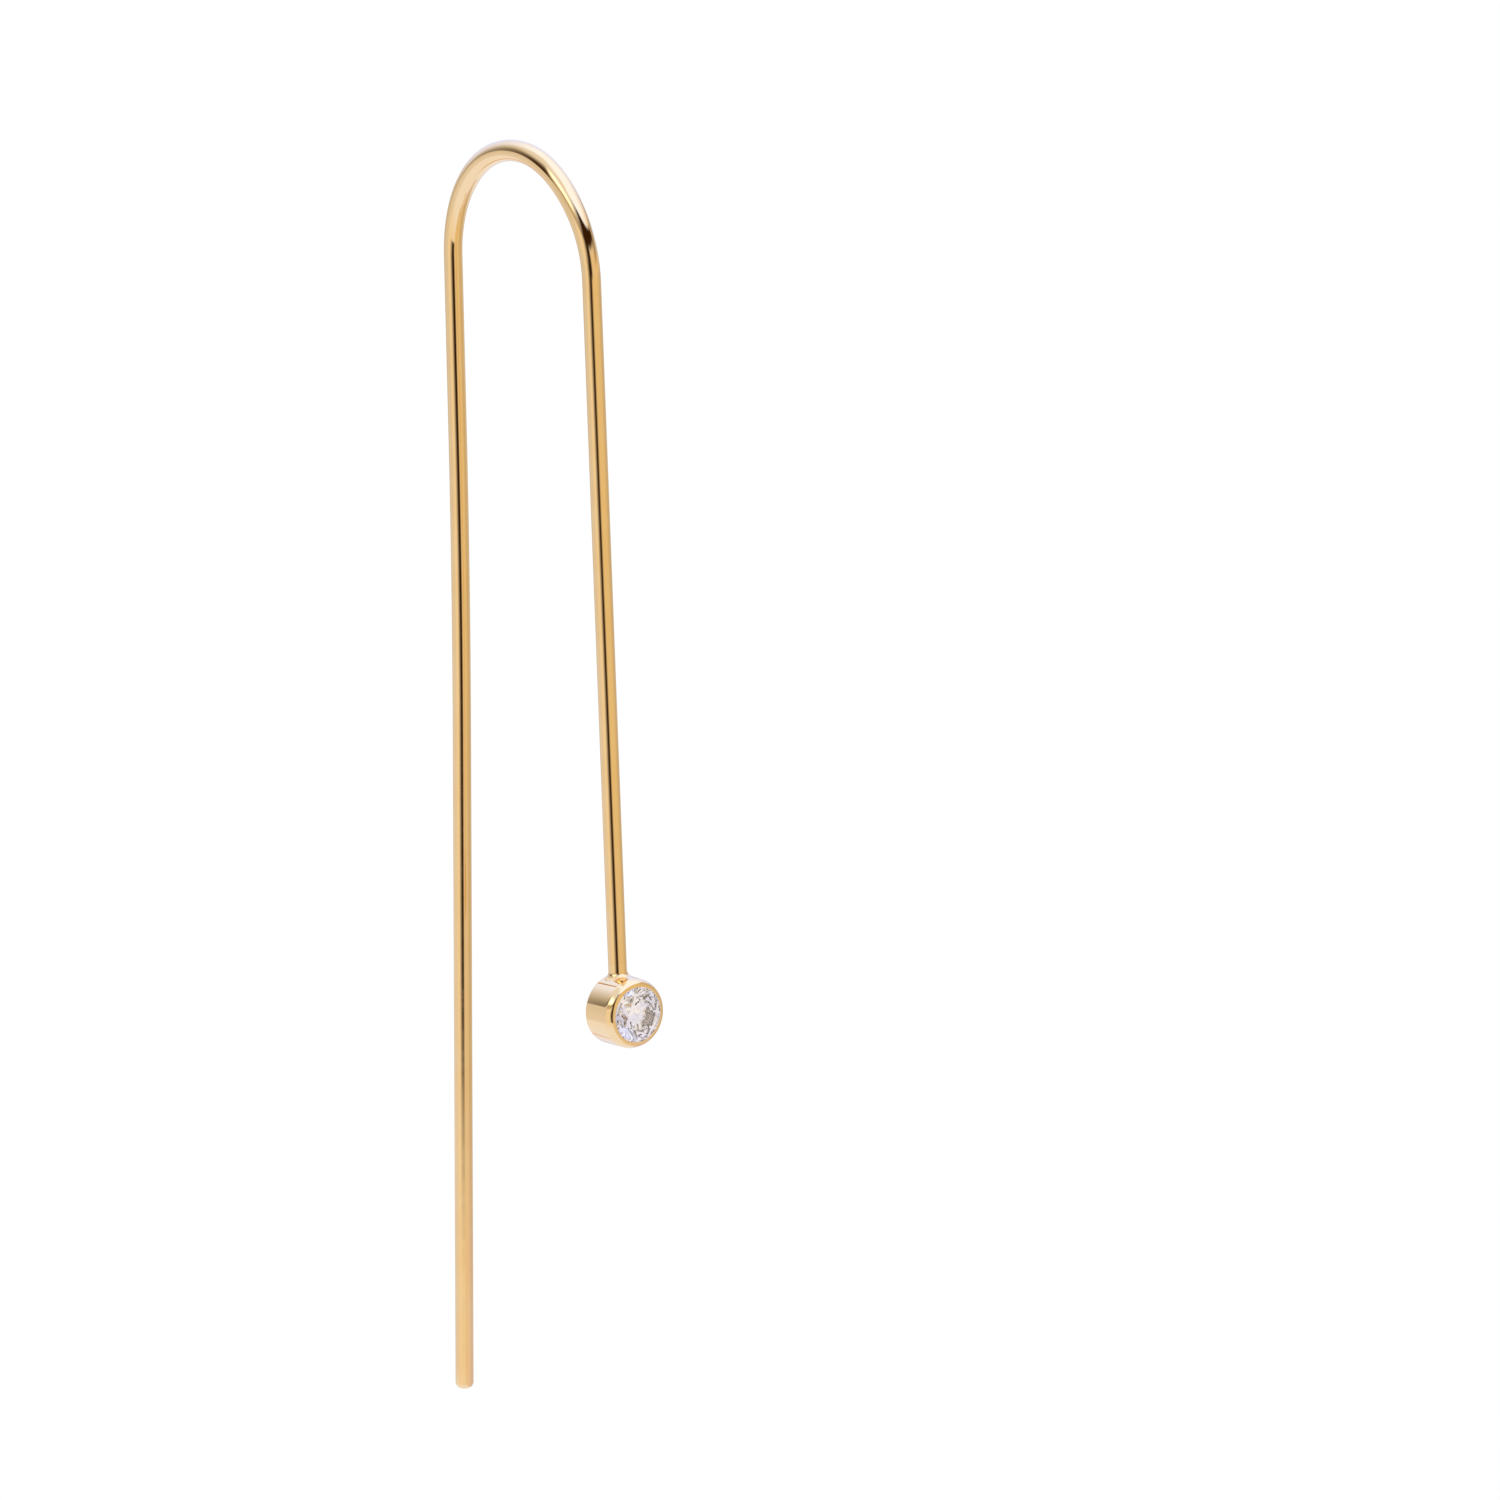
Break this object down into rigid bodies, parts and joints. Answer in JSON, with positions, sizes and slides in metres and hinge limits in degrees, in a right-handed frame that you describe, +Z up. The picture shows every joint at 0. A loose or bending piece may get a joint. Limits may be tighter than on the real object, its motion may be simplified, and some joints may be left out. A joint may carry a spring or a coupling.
{
  "type": "diamond drop earring",
  "caption": "Drop earring of round gold wire bent into a long narrow U, with a small round diamond in a closed bezel cup on the short leg. The ear lobe hangs in the crown.",
  "frame": {"origin": "on the wire's centre line at the crown of the arch, where the earring hangs in the ear", "axes": "+Z up, +X the side that the stone faces, away from the long leg, +Y square to the plane of the U"},
  "size_m": [0.014, 0.003, 0.0567],
  "materials": {
    "gold": "polished",
    "diamond": "faceted and polished"
  },
  "bodies": {
    "root": {"ear_wire_with_bezel": "gold", "diamond": "diamond"}
  },
  "joints": []
}
